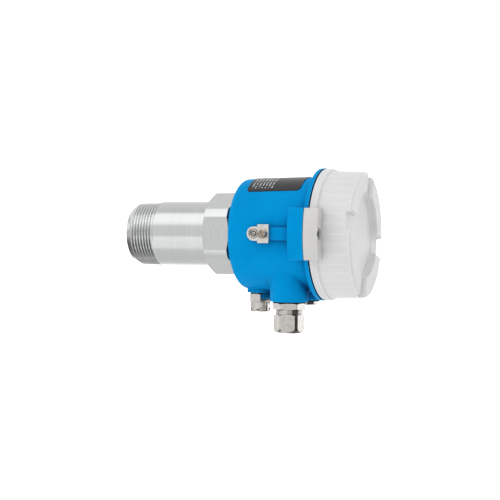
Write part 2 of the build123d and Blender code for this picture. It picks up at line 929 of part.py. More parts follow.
def make_vent_cap():
    start = vent_seal_thickness + vent_hex_length
    end = start + vent_cap_length
    cap = turned(
        [
            (start, vent_neck_radius + fit_gap),
            (start, vent_cap_radius),
            (end, vent_cap_radius),
            (end, 0),
            (end - vent_cap_wall, 0),
            (end - vent_cap_wall, vent_neck_radius + fit_gap),
        ],
        {2: vent_cap_round},
    )
    slot_end = end - vent_cap_wall
    slot = block(
        slot_end - vent_slot_height,
        slot_end,
        vent_neck_radius - overcut,
        vent_cap_radius + overcut,
        -vent_slot_width / 2,
        vent_slot_width / 2,
    )
    cap -= around_x(slot, evenly(vent_slot_count, vent_slot_turn))
    return downwards(cap, vent_x, 0, -vent_seat_drop)


# Cable gland in the near entry
def place_in_entry(shape, side):
    return downwards(shape, entry_x, side * entry_y, -entry_boss_drop)


def make_entry_seal():
    return ring(0, gland_seal_thickness, entry_thread_radius, entry_thread_radius + gland_seal_width)


def make_gland_body():
    top = gland_seal_thickness
    flats_radius = gland_hex_flats / 2 + loose_gap
    corner_reach = gland_hex_flats / 2 + gland_hex_corner_rise
    body = ring(-gland_thread_length, top, 0, entry_thread_radius - fit_gap)
    corner_turning = turned(
        [
            (top, 0),
            (top, flats_radius),
            (top + gland_hex_chamfer, corner_reach),
            (gland_hex_end - gland_hex_chamfer, corner_reach),
            (gland_hex_end, flats_radius),
            (gland_hex_end, 0),
        ]
    )
    body += hexagon(gland_hex_flats, top, gland_hex_end, gland_hex_turn) & corner_turning
    body += ring(gland_hex_end, gland_neck_end, 0, gland_neck_radius)
    body -= ring(-gland_thread_length - overcut, gland_neck_end + overcut, 0, gland_bore_radius)
    body -= ring(gland_hex_end, gland_neck_end + overcut, 0, gland_cup_radius)
    return place_in_entry(body, -1)


def make_gland_insert():
    end = gland_hex_end + gland_insert_length
    outer = gland_cup_radius - fit_gap
    insert = turned(
        [
            (gland_hex_end, gland_insert_bore_radius),
            (gland_hex_end, outer),
            (gland_neck_end, outer),
            (end, outer - gland_insert_taper),
            (end, gland_insert_bore_radius),
        ]
    )
    return place_in_entry(insert, -1)


def make_gland_claw():
    start = gland_neck_end + loose_gap
    end = start + gland_claw_length
    inner = gland_cup_radius + fit_gap
    claw = ring(start, end, inner, inner + gland_claw_wall)
    slit = block(
        start + gland_claw_root,
        end + overcut,
        inner - overcut,
        inner + gland_claw_wall + overcut,
        -gland_claw_slit_width / 2,
        gland_claw_slit_width / 2,
    )
    return place_in_entry(claw - around_x(slit, evenly(gland_claw_slits)), -1)


def make_gland_nut():
    end = gland_nut_start + gland_nut_length
    outside = turned(
        [
            (gland_nut_start, 0),
            (gland_nut_start, gland_nut_flats / 2 + loose_gap),
            (gland_nut_start + gland_nut_chamfer, gland_nut_radius),
            (end, gland_nut_radius),
            (end, 0),
        ],
        {3: gland_nut_round},
    )
    nut = hexagon(gland_nut_flats, gland_nut_start, end, gland_hex_turn) & outside
    nut -= ring(gland_nut_start - overcut, end - gland_nut_end_wall, 0, gland_neck_radius + fit_gap)
    nut -= ring(gland_nut_start, end + overcut, 0, gland_nut_mouth_radius)
    return place_in_entry(nut, -1)


# Blanking plug in the far entry
def make_blanking_plug():
    head_end = gland_seal_thickness + plug_head_length
    plug = turned(
        [
            (-gland_thread_length, 0),
            (-gland_thread_length, entry_thread_radius - fit_gap),
            (gland_seal_thickness, entry_thread_radius - fit_gap),
            (gland_seal_thickness, plug_head_radius),
            (head_end, plug_head_radius),
            (head_end, 0),
        ],
        {4: plug_head_round},
    )
    socket_floor = head_end - plug_socket_depth
    plug -= ring(-gland_thread_length - overcut, socket_floor - plug_floor, 0, gland_bore_radius)
    plug -= hexagon(plug_socket_flats, socket_floor, head_end + overcut)
    return place_in_entry(plug, 1)


# Electronics insert: a cup with a deck, three columns and a board hung under the deck
def make_electronics_insert():
    body = ring(insert_back, deck_face, 0, insert_radius)
    body -= ring(insert_back - overcut, deck_back, 0, insert_radius - insert_skirt)
    column = Pos(0, post_orbit, 0) * ring(insert_back, deck_back, 0, column_radius)
    shell = ring(insert_back, deck_back, 0, insert_radius - insert_skirt / 2)
    body += [piece & shell for piece in around_x(column, post_angles)]
    standoff = Pos(0, standoff_orbit, 0) * ring(insert_board_face, deck_back, 0, standoff_radius)
    body += around_x(standoff, evenly(post_count, standoff_turn))
    hole = Pos(0, post_orbit, 0) * ring(
        insert_back - overcut, deck_face + overcut, 0, insert_screw_radius + loose_gap
    )
    return body - around_x(hole, post_angles)


def make_electronics_board():
    return ring(insert_board_face - board_thickness, insert_board_face, 0, insert_board_radius)


def make_insert_screws():
    head_end = deck_face + insert_screw_head_length
    screw = turned(
        [
            (insert_back - insert_screw_grip, 0),
            (insert_back - insert_screw_grip, insert_screw_radius),
            (deck_face, insert_screw_radius),
            (deck_face, insert_screw_head_radius),
            (head_end, insert_screw_head_radius),
            (head_end, 0),
        ],
        {4: insert_screw_head_round},
    )
    slot_reach = 2 * insert_screw_head_radius
    half_slot = insert_screw_slot_width / 2
    slot_floor = head_end - insert_screw_slot_depth
    slot = block(slot_floor, head_end + overcut, -slot_reach, slot_reach, -half_slot, half_slot)
    placed = Pos(0, post_orbit, 0) * (screw - slot)
    return Compound(children=around_x(placed, post_angles))


def terminal_row():
    """Y of each terminal way."""
    middle = (terminal_count - 1) / 2
    return [(number - middle) * terminal_pitch for number in range(terminal_count)]


def make_terminal_block():
    half = terminal_count * terminal_pitch / 2 + terminal_block_margin
    top = deck_face + terminal_block_length
    bottom = terminal_block_z - terminal_block_height / 2
    body = block(deck_face, top, -half, half, bottom, bottom + terminal_block_height)
    top_edges = body.edges().filter_by(Axis.Y).filter_by_position(Axis.X, top - fit_gap, top + fit_gap)
    body = chamfer(top_edges, terminal_block_chamfer)
    wire_way = Cylinder(terminal_wire_radius, terminal_block_height / 2)
    wire_x = deck_face + terminal_block_length / 3
    wire_z = bottom + terminal_block_height / 4
    screw_floor = top - terminal_screw_sink - terminal_screw_depth
    screw_hole = ring(screw_floor, top + overcut, 0, terminal_screw_radius + loose_gap)
    for y in terminal_row():
        body -= Pos(wire_x, y, wire_z) * wire_way
        body -= Pos(0, y, terminal_block_z) * screw_hole
    return body


def make_terminal_screws():
    screw_top = deck_face + terminal_block_length - terminal_screw_sink
    screw = ring(screw_top - terminal_screw_depth, screw_top, 0, terminal_screw_radius)
    reach = 2 * terminal_screw_radius
    half_slot = terminal_slot_width / 2
    screw -= block(
        screw_top - terminal_slot_depth, screw_top + overcut, -reach, reach, -half_slot, half_slot
    )
    return Compound(children=[Pos(0, y, terminal_block_z) * screw for y in terminal_row()])


def make_knob(y):
    start = deck_face + fit_gap
    knob = turned(
        [
            (start, 0),
            (start, knob_radius),
            (start + knob_length, knob_radius),
            (start + knob_length, 0),
        ],
        {2: knob_round},
    )
    end = start + knob_length
    slot_reach = knob_radius * knob_slot_share
    knob -= block(
        end - knob_slot_depth,
        end + overcut,
        -slot_reach,
        slot_reach,
        -knob_slot_width / 2,
        knob_slot_width / 2,
    )
    knob -= block(
        start + knob_collar,
        end + overcut,
        knob_radius - knob_pointer_depth,
        knob_radius + overcut,
        -knob_pointer_width / 2,
        knob_pointer_width / 2,
    )
    return Pos(0, y, knob_z) * knob


def switch_row():
    """Y of each slide switch."""
    middle = (switch_count - 1) / 2
    return [(number - middle) * switch_pitch for number in range(switch_count)]


def make_switch_block():
    half = switch_count * switch_pitch / 2 + switch_block_margin
    top = deck_face + switch_block_length
    body = block(
        deck_face, top, -half, half, switch_z - switch_block_height / 2, switch_z + switch_block_height / 2
    )
    slot_half = slider_size / 2 + loose_gap
    low = switch_z - (switch_travel + slider_size) / 2 - loose_gap
    high = switch_z + (switch_travel + slider_size) / 2 + loose_gap
    for y in switch_row():
        body -= block(
            top - slider_length / 2 - loose_gap, top + overcut, y - slot_half, y + slot_half, low, high
        )
    return body


def make_switch_slider(y):
    top = deck_face + switch_block_length
    low = switch_z - (switch_travel + slider_size) / 2
    half = slider_size / 2
    return block(
        top - slider_length / 2, top + slider_length / 2, y - half, y + half, low, low + slider_size
    )


def make_status_light():
    light = turned(
        [(deck_face, 0), (deck_face, light_radius), (deck_face + light_length, light_radius)]
        + [(deck_face + light_length, 0)],
        {2: light_round},
    )
    return Pos(0, 0, light_z) * light


parts = {
    "process_connection": make_process_connection(),
    "process_seal": make_process_seal(),
    "antenna_window": make_antenna_window(),
    "window_seal": make_window_seal(),
    "antenna_horn": make_antenna_horn(),
    "microwave_module": make_microwave_module(),
    "module_board": make_module_board(),
    "module_retainer": make_module_retainer(),
    "signal_lead": make_signal_lead(),
    "housing": make_housing(),
    "locknut": make_locknut(),
    "cover": make_cover(),
    "cover_seal": make_cover_seal(),
    "cover_clamp": make_cover_clamp(),
    "clamp_screw": make_clamp_screw(),
    "nameplate": make_nameplate(),
    "ground_tab": make_ground_tab(),
    "ground_clamp": make_ground_clamp(),
    "ground_spring_washer": make_ground_spring_washer(),
    "ground_screw": make_ground_screw(),
    "vent_seal": make_vent_seal(),
    "vent_body": make_vent_body(),
    "vent_membrane": make_vent_membrane(),
    "vent_cap": make_vent_cap(),
    "gland_seal": place_in_entry(make_entry_seal(), -1),
    "gland_body": make_gland_body(),
    "gland_insert": make_gland_insert(),
    "gland_claw": make_gland_claw(),
    "gland_nut": make_gland_nut(),
    "plug_seal": place_in_entry(make_entry_seal(), 1),
    "blanking_plug": make_blanking_plug(),
    "electronics_insert": make_electronics_insert(),
    "electronics_board": make_electronics_board(),
    "insert_screws": make_insert_screws(),
    "terminal_block": make_terminal_block(),
    "terminal_screws": make_terminal_screws(),
    "sensitivity_knob": make_knob(-knob_y),
    "delay_knob": make_knob(knob_y),
    "switch_block": make_switch_block(),
    "status_light": make_status_light(),
}
for number, y in enumerate(switch_row(), start=1):
    parts[f"switch_slider_{number}"] = make_switch_slider(y)

for name, shape in parts.items():
    export_step(shape, f"parts/{name}.step")
    print(name, round(shape.volume))
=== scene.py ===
import math

import bmesh
import bpy
from mathutils import Matrix, Vector


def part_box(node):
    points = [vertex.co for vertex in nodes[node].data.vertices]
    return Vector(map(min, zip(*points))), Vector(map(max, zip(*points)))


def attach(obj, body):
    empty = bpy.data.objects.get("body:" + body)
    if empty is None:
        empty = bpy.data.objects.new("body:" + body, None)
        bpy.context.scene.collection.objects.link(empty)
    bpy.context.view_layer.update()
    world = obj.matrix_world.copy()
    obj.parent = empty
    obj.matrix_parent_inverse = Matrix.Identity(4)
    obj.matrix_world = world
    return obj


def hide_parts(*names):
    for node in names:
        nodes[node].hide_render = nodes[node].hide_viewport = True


# Looks of a microwave barrier sensor: stainless threaded neck, blue enamelled housing,
# pale moulded screw cover. Lengths are metres; X runs from the window to the cover, Z is up.

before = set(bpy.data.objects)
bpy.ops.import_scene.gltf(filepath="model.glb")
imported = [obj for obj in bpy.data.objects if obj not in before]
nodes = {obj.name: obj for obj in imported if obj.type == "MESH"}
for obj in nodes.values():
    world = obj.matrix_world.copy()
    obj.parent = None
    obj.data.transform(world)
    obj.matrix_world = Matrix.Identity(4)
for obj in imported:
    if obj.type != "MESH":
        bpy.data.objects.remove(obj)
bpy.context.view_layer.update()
mm = 0.001
print("frame loaded:", len(nodes), "nodes")

scene = bpy.context.scene
scene.view_settings.view_transform = "Standard"


# sRGB hex to linear
def hexColour(code):
    channels = [int(code[i : i + 2], 16) / 255 for i in (1, 3, 5)]
    linear = [c / 12.92 if c <= 0.04045 else ((c + 0.055) / 1.055) ** 2.4 for c in channels]
    return (*linear, 1.0)


# adds one node; settings are socket values or properties, links are socket: (node, output)
def addNode(tree, kind, settings=None, links=None):
    node = tree.nodes.new(kind)
    for name, value in (settings or {}).items():
        if isinstance(name, int) or name in node.inputs:
            node.inputs[name].default_value = value
        else:
            setattr(node, name, value)
    for name, (source, output) in (links or {}).items():
        tree.links.new(source.outputs[output], node.inputs[name])
    return node


# a material with its shader and Object coordinates ready
def startMaterial(name, settings):
    material = bpy.data.materials.new(name)
    material.use_nodes = True
    tree = material.node_tree
    shader = tree.nodes["Principled BSDF"]
    for socket, value in settings.items():
        shader.inputs[socket].default_value = value
    coords = addNode(tree, "ShaderNodeTexCoord")
    return material, tree, shader, coords


# two colours over a pattern, one up to the first share of it and the other from the second
def twoTone(tree, shader, pattern, colours, shares):
    ramp = addNode(tree, "ShaderNodeValToRGB", {}, {"Fac": (pattern, "Fac")})
    for element, place, colour in zip(ramp.color_ramp.elements, shares, colours):
        element.position = place
        element.color = hexColour(colour)
    tree.links.new(ramp.outputs["Color"], shader.inputs["Base Color"])


# soft blotches of two near colours, about as wide as a size in metres
def mottle(tree, shader, coords, colours, width):
    settings = {"Scale": 1 / width, "Detail": 3.0}
    blotches = addNode(tree, "ShaderNodeTexNoise", settings, {"Vector": (coords, "Object")})
    twoTone(tree, shader, blotches, colours, (0.4, 0.6))
    return blotches


# roughness that wanders between two values
def roughPatches(tree, shader, pattern, low, high):
    span = addNode(tree, "ShaderNodeMapRange", {"To Min": low, "To Max": high}, {"Value": (pattern, "Fac")})
    tree.links.new(span.outputs["Result"], shader.inputs["Roughness"])


# surface relief as deep as a size; edge rounds the look of sharp edges by a radius
def relief(tree, shader, pattern, depth, edge=0.0):
    links = {"Height": (pattern, "Fac")}
    if edge:
        links["Normal"] = (addNode(tree, "ShaderNodeBevel", {"samples": 8, "Radius": edge}), "Normal")
    bump = addNode(tree, "ShaderNodeBump", {"Distance": depth, "Strength": 1.0}, links)
    tree.links.new(bump.outputs["Normal"], shader.inputs["Normal"])


# Turned stainless steel: fine lathe lines round the sensor's axis, and soft bands of light along the neck.
# The real feed is finer; it is drawn 0.9 mm wide so that it shows.
turnedSteel = {
    "pale": "#D2D3D3",
    "dark": "#CBCCCC",
    "feed": 0.9 * mm,
    "depth": 0.0015 * mm,
    "roughness": (0.13, 0.19),
}


def makeTurnedSteel():
    material, tree, shader, coords = startMaterial("turnedSteel", {"Metallic": 1.0})
    parts = addNode(tree, "ShaderNodeSeparateXYZ", {}, {"Vector": (coords, "Object")})
    across = addNode(tree, "ShaderNodeCombineXYZ", {}, {"X": (parts, "Y"), "Y": (parts, "Z")})
    radius = addNode(tree, "ShaderNodeVectorMath", {"operation": "LENGTH"}, {0: (across, "Vector")})
    lathe = addNode(tree, "ShaderNodeCombineXYZ", {}, {"X": (parts, "X"), "Y": (radius, "Value")})
    lines = addNode(
        tree,
        "ShaderNodeTexNoise",
        {"noise_dimensions": "2D", "Scale": 1 / turnedSteel["feed"], "Detail": 4.0, "Roughness": 0.7},
        {"Vector": (lathe, "Vector")},
    )
    twoTone(tree, shader, lines, (turnedSteel["dark"], turnedSteel["pale"]), (0.35, 0.65))
    roughPatches(tree, shader, lines, *turnedSteel["roughness"])
    relief(tree, shader, lines, turnedSteel["depth"])
    return material


# Powder-coated die casting: sky blue semi-gloss enamel with a faint orange peel
blueEnamel = {
    "deep": "#0087C6",
    "light": "#008BCA",
    "blotch": 18 * mm,
    "peel": 1.4 * mm,
    "depth": 0.004 * mm,
    "roughness": (0.38, 0.48),
    "specular": 0.015,
}


def makeBlueEnamel():
    sheen = {"Specular IOR Level": blueEnamel["specular"]}
    material, tree, shader, coords = startMaterial("blueEnamel", sheen)
    mottle(tree, shader, coords, (blueEnamel["deep"], blueEnamel["light"]), blueEnamel["blotch"])
    settings = {"Scale": 1 / blueEnamel["peel"], "Detail": 2.0}
    peel = addNode(tree, "ShaderNodeTexNoise", settings, {"Vector": (coords, "Object")})
    roughPatches(tree, shader, peel, *blueEnamel["roughness"])
    relief(tree, shader, peel, blueEnamel["depth"])
    return material


# Glass-fibre laminate: solder-mask green with a woven relief. The real weave is finer than a millimetre;
# it is drawn about 3 mm wide so that it shows.
laminate = {
    "deep": "#0E4A2A",
    "light": "#15633A",
    "blotch": 4 * mm,
    "weave": math.pi * mm,
    "depth": 0.01 * mm,
    "roughness": 0.35,
}
waveTurn = 20.0  # radians that a Wave texture runs through in one unit


def makeLaminate():
    material, tree, shader, coords = startMaterial("boardLaminate", {"Roughness": laminate["roughness"]})
    mottle(tree, shader, coords, (laminate["deep"], laminate["light"]), laminate["blotch"])
    scale = math.tau / laminate["weave"] / waveTurn
    settings = {"wave_type": "BANDS", "bands_direction": "Z", "Scale": scale}
    weave = addNode(tree, "ShaderNodeTexWave", settings, {"Vector": (coords, "Object")})
    relief(tree, shader, weave, laminate["depth"])
    return material


# Moulded and coated finishes: a fine texture from the mould, drawn coarser than it is so that it shows,
# and corners that look a little round
mouldedFinishes = {
    # moulded polymer of the screw cover, fine satin skin: even pale grey
    "coverPolymer": {"colours": ("#CDCDCD", "#D0D0D0"), "roughness": (0.44, 0.52)},
    # satin grey coat on the metal clamp: warm pale grey with soft edges
    "clampCoating": {"colours": ("#C2C1BF", "#C7C6C4"), "roughness": (0.40, 0.50), "edge": 0.8 * mm},
    # moulded nitrile rubber of the seals: near black and dull; the same finish is on the painted shade in the
    # vent cap's slots
    "nitrileRubberAndSlotShade": {
        "colours": ("#161719", "#1C1D1F"),
        "roughness": (0.6, 0.75),
        "grain": 0.4 * mm,
        "depth": 0.01 * mm,
    },
    # printed foil of the nameplate: black with a soft gleam
    "printedFoil": {"colours": ("#171718", "#1B1B1C"), "roughness": (0.30, 0.40)},
    # machined PTFE of the window: milky, slightly warm white
    "windowPolymer": {"colours": ("#D8D7D0", "#DEDDD7"), "roughness": (0.4, 0.5)},
    # moulded or extruded black polymer of insert, claw and lead: dark, satin
    "blackPolymer": {"colours": ("#26282B", "#2B2D30"), "roughness": (0.42, 0.55)},
    # moulded green polymer of the terminal block: plain, satin
    "greenPolymer": {"colours": ("#2C7A4B", "#318553"), "roughness": (0.4, 0.5)},
    # moulded ivory polymer of knobs and sliders: light, a little glossy
    "ivoryPolymer": {"colours": ("#E4E1D6", "#E9E6DC"), "roughness": (0.35, 0.45)},
    # moulded red polymer of the switch block: deep red, a little glossy
    "redPolymer": {"colours": ("#A82020", "#B42828"), "roughness": (0.3, 0.4)},
    # clear moulded light pipe, tinted green: bright and glossy
    "lightPipe": {"colours": ("#47C765", "#5AD477"), "roughness": (0.12, 0.2)},
    # screen-printed ink on the foil: flat pale grey
    "paleInk": {"colours": ("#9DA1A4", "#AAAEB0"), "roughness": (0.35, 0.45)},
    # porous film that lets the housing breathe: white and matt
    "filmMembrane": {"colours": ("#EDEDEB", "#F6F6F4"), "roughness": (0.6, 0.7)},
}
mouldedSkin = {"blotch": 25 * mm, "specular": 0.4}


def makeMoulded(name, colours, roughness, grain=0.6 * mm, depth=0.004 * mm, edge=0.3 * mm):
    material, tree, shader, coords = startMaterial(name, {"Specular IOR Level": mouldedSkin["specular"]})
    mottle(tree, shader, coords, colours, mouldedSkin["blotch"])
    settings = {"Scale": 1 / grain, "Detail": 3.0}
    skin = addNode(tree, "ShaderNodeTexNoise", settings, {"Vector": (coords, "Object")})
    roughPatches(tree, shader, skin, *roughness)
    relief(tree, shader, skin, depth, edge)
    return material


# Plated, pressed and turned metals: bright, with a faint uneven polish
metalFinishes = {
    # nickel-plated brass of gland, plug and vent: warm, mirror-like
    "nickelPlate": {"colours": ("#D2CEC9", "#DEDBD6"), "roughness": (0.10, 0.18)},
    # pressed stainless sheet of the earth terminal: bright, less sharp
    "brightSteel": {"colours": ("#D9D5CE", "#E6E3DD"), "roughness": (0.16, 0.26)},
    # stainless screw of the earth terminal: a little browner than its plate
    "screwSteel": {"colours": ("#A59B8F", "#B6ACA0"), "roughness": (0.16, 0.3)},
    # zinc-plated steel of the inner fasteners: cool grey, half dull
    "zincSteel": {"colours": ("#B9BBBD", "#C8CACB"), "roughness": (0.25, 0.4)},
    # dark stainless steel of the clamp screw: half dull
    "darkSteel": {"colours": ("#4A4A4C", "#5C5C5E"), "roughness": (0.3, 0.45)},
    # machined aluminium of horn and module: pale and silky
    "machinedAluminium": {"colours": ("#BEC0C2", "#CACCCE"), "roughness": (0.25, 0.35)},
    # turned brass of the retainer: yellow, silky
    "turnedBrass": {"colours": ("#C9A24E", "#D6B064"), "roughness": (0.2, 0.3)},
    # etched floor of the ringed disc: dark grey, speckled
    "etchedSteel": {"colours": ("#606062", "#707072"), "roughness": (0.25, 0.35), "grain": 0.8 * mm},
}
metalSkin = {"depth": 0.002 * mm, "edge": 0.35 * mm}


def makeMetal(name, colours, roughness, grain=3 * mm):
    material, tree, shader, coords = startMaterial(name, {"Metallic": 1.0})
    polish = mottle(tree, shader, coords, colours, grain)
    roughPatches(tree, shader, polish, *roughness)
    relief(tree, shader, polish, metalSkin["depth"], metalSkin["edge"])
    return material


materials = {
    "turnedSteel": makeTurnedSteel(),
    "blueEnamel": makeBlueEnamel(),
    "boardLaminate": makeLaminate(),
}
for finish, look in mouldedFinishes.items():
    materials[finish] = makeMoulded(finish, **look)
for finish, look in metalFinishes.items():
    materials[finish] = makeMetal(finish, **look)


# puts another colour over a finished material, by a share from 0 to 1
def overlay(material, colour, share, output):
    tree, shader = material.node_tree, material.node_tree.nodes["Principled BSDF"]
    skin = shader.inputs["Base Color"].links[0].from_socket
    settings = {"data_type": "RGBA", 7: hexColour(colour)}
    mix = addNode(tree, "ShaderNodeMix", settings, {0: (share, output)})
    tree.links.new(skin, mix.inputs[6])
    tree.links.new(mix.outputs[2], shader.inputs["Base Color"])


# painted shade: corners that little light reaches are darkened in the base colour, fully when closed, not at
# all when clear
def paintedCornerShade(material, colour, reach, closed, clear):
    tree = material.node_tree
    light = addNode(tree, "ShaderNodeAmbientOcclusion", {"samples": 8, "Distance": reach})
    span = {"From Min": closed, "From Max": clear, "To Min": 1.0, "To Max": 0.0}
    depth = addNode(tree, "ShaderNodeMapRange", span, {"Value": (light, "AO")})
    overlay(material, colour, depth, "Result")


# painted highlight: a paler line painted where the surface turns, standing for the light that crisp edges of
# a moulding or a coat catch
def paintedEdgeHighlight(material, colour, radius, turn):
    tree = material.node_tree
    rounded = addNode(tree, "ShaderNodeBevel", {"samples": 8, "Radius": radius})
    flat = addNode(tree, "ShaderNodeNewGeometry")
    sides = {0: (rounded, "Normal"), 1: (flat, "Normal")}
    facing = addNode(tree, "ShaderNodeVectorMath", {"operation": "DOT_PRODUCT"}, sides)
    turned = {"From Min": math.cos(math.radians(turn)), "From Max": 1.0, "To Min": 1.0, "To Max": 0.0}
    edges = addNode(tree, "ShaderNodeMapRange", turned, {"Value": (facing, "Value")})
    overlay(material, colour, edges, "Result")


# painted highlight: paler lines along the edges of the cover and of the blue casting
paintedEdgeHighlight(materials["coverPolymer"], colour="#E2E2E2", radius=0.5 * mm, turn=4.5)
# painted shade darkens the blue in its corners and crevices
paintedCornerShade(materials["blueEnamel"], colour="#003A70", reach=14 * mm, closed=0.25, clear=0.85)
paintedEdgeHighlight(materials["blueEnamel"], colour="#4FAEDD", radius=0.45 * mm, turn=32.0)

# Grip wall of the cover, from its bead to its end: the flats are shaded flat, and a fine painted highlight, a
# paler line, runs where two of them meet. line is a share of a flat, inner the radius that the wall lies
# outside of, pale the highlight's colour.
grip = {
    "flats": 40,
    "start": 154.9 * mm,
    "end": 176.5 * mm,
    "inner": 43.5 * mm,
    "line": 0.05,
    "pale": "#DBDBDB",
}


def makeGripFlatsAndHighlightLines(material):
    tree, shader = material.node_tree, material.node_tree.nodes["Principled BSDF"]
    coords = addNode(tree, "ShaderNodeTexCoord")
    parts = addNode(tree, "ShaderNodeSeparateXYZ", {}, {"Vector": (coords, "Object")})
    across = addNode(tree, "ShaderNodeCombineXYZ", {}, {"Y": (parts, "Y"), "Z": (parts, "Z")})
    radius = addNode(tree, "ShaderNodeVectorMath", {"operation": "LENGTH"}, {0: (across, "Vector")})

    # 1 on the wall, 0 elsewhere
    over, under, times = {"operation": "GREATER_THAN"}, {"operation": "LESS_THAN"}, {"operation": "MULTIPLY"}
    after = addNode(tree, "ShaderNodeMath", over | {1: grip["start"]}, {0: (parts, "X")})
    before = addNode(tree, "ShaderNodeMath", under | {1: grip["end"]}, {0: (parts, "X")})
    outside = addNode(tree, "ShaderNodeMath", over | {1: grip["inner"]}, {0: (radius, "Value")})
    band = addNode(tree, "ShaderNodeMath", times, {0: (after, "Value"), 1: (before, "Value")})
    wall = addNode(tree, "ShaderNodeMath", times, {0: (band, "Value"), 1: (outside, "Value")})

    # distance from the nearest meeting of two flats, as a share of a flat
    angle = addNode(tree, "ShaderNodeMath", {"operation": "ARCTAN2"}, {0: (parts, "Y"), 1: (parts, "Z")})
    flats = addNode(tree, "ShaderNodeMath", times | {1: grip["flats"] / (2 * math.pi)}, {0: (angle, "Value")})
    meeting = addNode(tree, "ShaderNodeMath", {"operation": "PINGPONG", 1: 0.5}, {0: (flats, "Value")})
    span = {"From Min": 0.0, "From Max": grip["line"], "To Min": 1.0, "To Max": 0.0}
    line = addNode(tree, "ShaderNodeMapRange", span, {"Value": (meeting, "Value")})
    # painted highlight: a paler line along each meeting of two flats, on the wall alone
    share = addNode(tree, "ShaderNodeMath", times, {0: (line, "Result"), 1: (wall, "Value")})
    overlay(material, grip["pale"], share, "Value")

    # the mesh's own flat facing under the grain, on the wall alone
    grain = shader.inputs["Normal"].links[0].from_node
    rounded = grain.inputs["Normal"].links[0].from_socket
    flat = addNode(tree, "ShaderNodeNewGeometry")
    links = {0: (wall, "Value"), 5: (flat, "True Normal")}
    facing = addNode(tree, "ShaderNodeMix", {"data_type": "VECTOR"}, links)
    tree.links.new(rounded, facing.inputs[4])
    tree.links.new(facing.outputs[1], grain.inputs["Normal"])


makeGripFlatsAndHighlightLines(materials["coverPolymer"])
print("materials made:", len(materials))

# which finish each CAD node shows
nodeFinishes = {
    "turnedSteel": ["process_connection"],
    "blueEnamel": ["housing"],
    "coverPolymer": ["cover"],
    "clampCoating": ["cover_clamp"],
    "nickelPlate": ["vent_body", "vent_cap", "gland_body", "gland_nut", "blanking_plug"],
    "brightSteel": ["ground_tab", "ground_clamp", "ground_spring_washer"],
    "screwSteel": ["ground_screw"],
    "zincSteel": ["locknut", "insert_screws", "terminal_screws"],
    "darkSteel": ["clamp_screw"],
    "machinedAluminium": ["antenna_horn", "microwave_module"],
    "turnedBrass": ["module_retainer"],
    "nitrileRubberAndSlotShade": [
        "process_seal",
        "window_seal",
        "cover_seal",
        "vent_seal",
        "gland_seal",
        "gland_insert",
        "plug_seal",
    ],
    "printedFoil": ["nameplate"],
    "windowPolymer": ["antenna_window"],
    "boardLaminate": ["module_board", "electronics_board"],
    "blackPolymer": ["signal_lead", "gland_claw", "electronics_insert"],
    "greenPolymer": ["terminal_block"],
    "ivoryPolymer": ["sensitivity_knob", "delay_knob"] + [f"switch_slider_{n}" for n in range(1, 5)],
    "redPolymer": ["switch_block"],
    "lightPipe": ["status_light"],
    "filmMembrane": ["vent_membrane"],
}
for finish, names in nodeFinishes.items():
    for name in names:
        nodes[name].data.materials.clear()
        nodes[name].data.materials.append(materials[finish])


# a finished mesh object from a bmesh, riding on its body
def addPiece(bm, name, body, finish, replaced=None, smoothAngle=30.0):
    bmesh.ops.remove_doubles(bm, verts=bm.verts, dist=1e-7)
    bmesh.ops.recalc_face_normals(bm, faces=bm.faces)
    mesh = bpy.data.meshes.new(name)
    bm.to_mesh(mesh)
    bm.free()
    mesh.materials.append(materials[finish])
    mesh.shade_smooth()
    mesh.set_sharp_from_angle(angle=math.radians(smoothAngle))
    piece = bpy.data.objects.new(name, mesh)
    scene.collection.objects.link(piece)
    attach(piece, body)
    if replaced:
        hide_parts(replaced)
    return piece


# a closed solid spun round X from (x, radius) points
def spinRing(bm, points, steps):
    made = [bm.verts.new((x, 0, r)) for x, r in points]
    edges = [bm.edges.new(pair) for pair in zip(made, made[1:] + made[:1])]
    bmesh.ops.spin(
        bm,
        geom=made + edges,
        cent=(0, 0, 0),
        axis=(1, 0, 0),
        dvec=(0, 0, 0),
        angle=2 * math.pi,
        steps=steps,
        use_merge=True,
    )


# Process connection: thread cut into the taper, plain neck, wrench hexagon and spigot
connection = {
    "neckRadius": 24.0 * mm,
    "noseRadius": 20.6 * mm,
    "noseLength": 6.0 * mm,
    "threadLength": 23.0 * mm,
    "threadPitch": 2.309 * mm,
    "threadDepth": 1.48 * mm,
    "threadTaper": 1 / 16,
    "mouthShare": 0.40,  # half the groove's mouth, and half its root, as shares of the pitch
    "rootShare": 0.12,
    "runOutTurns": 0.4,
    "runOutRise": 1.98 * mm,
    "hexStart": 63.6 * mm,
    "hexEnd": 83.6 * mm,
    "hexFlats": 55.0 * mm,
    "hexCorner": 30.0 * mm,
    "hexChamfer": 1.3 * mm,
    "hexRim": 0.05 * mm,
    "spigotRadius": 19.0 * mm,
    "spigotEnd": 101.0 * mm,
    "boreRadius": 16.0 * mm,
    "lipLength": 2.5 * mm,
    "lipBore": 13.6 * mm,
    "edge": 0.25 * mm,
    "edgeAngle": 50,
    "smoothAngle": 12.0,
    "steps": 192,
    "ringsPerPitch": 16,
}


# radius of the threaded surface at a place along the axis and a share of a turn from the top
def threadSurface(x, turn, c=connection):
    crest = c["neckRadius"] - max(0.0, c["threadLength"] - x) * c["threadTaper"] / 2
    nose = c["noseRadius"] + (crest - c["noseRadius"]) * min(1.0, x / c["noseLength"])
    lastGroove = c["threadLength"] - c["mouthShare"] * c["threadPitch"]
    phase = (x - lastGroove) / c["threadPitch"] - turn
    nearest = round(phase)
    flank = (c["mouthShare"] - abs(phase - nearest)) / (c["mouthShare"] - c["rootShare"])
    groove = c["threadDepth"] * min(1.0, max(0.0, flank))
    if nearest >= 0:
        groove -= c["runOutRise"] * turn / c["runOutTurns"]
    if nearest > 0:
        groove = 0.0
    return min(nose, crest - max(0.0, groove))


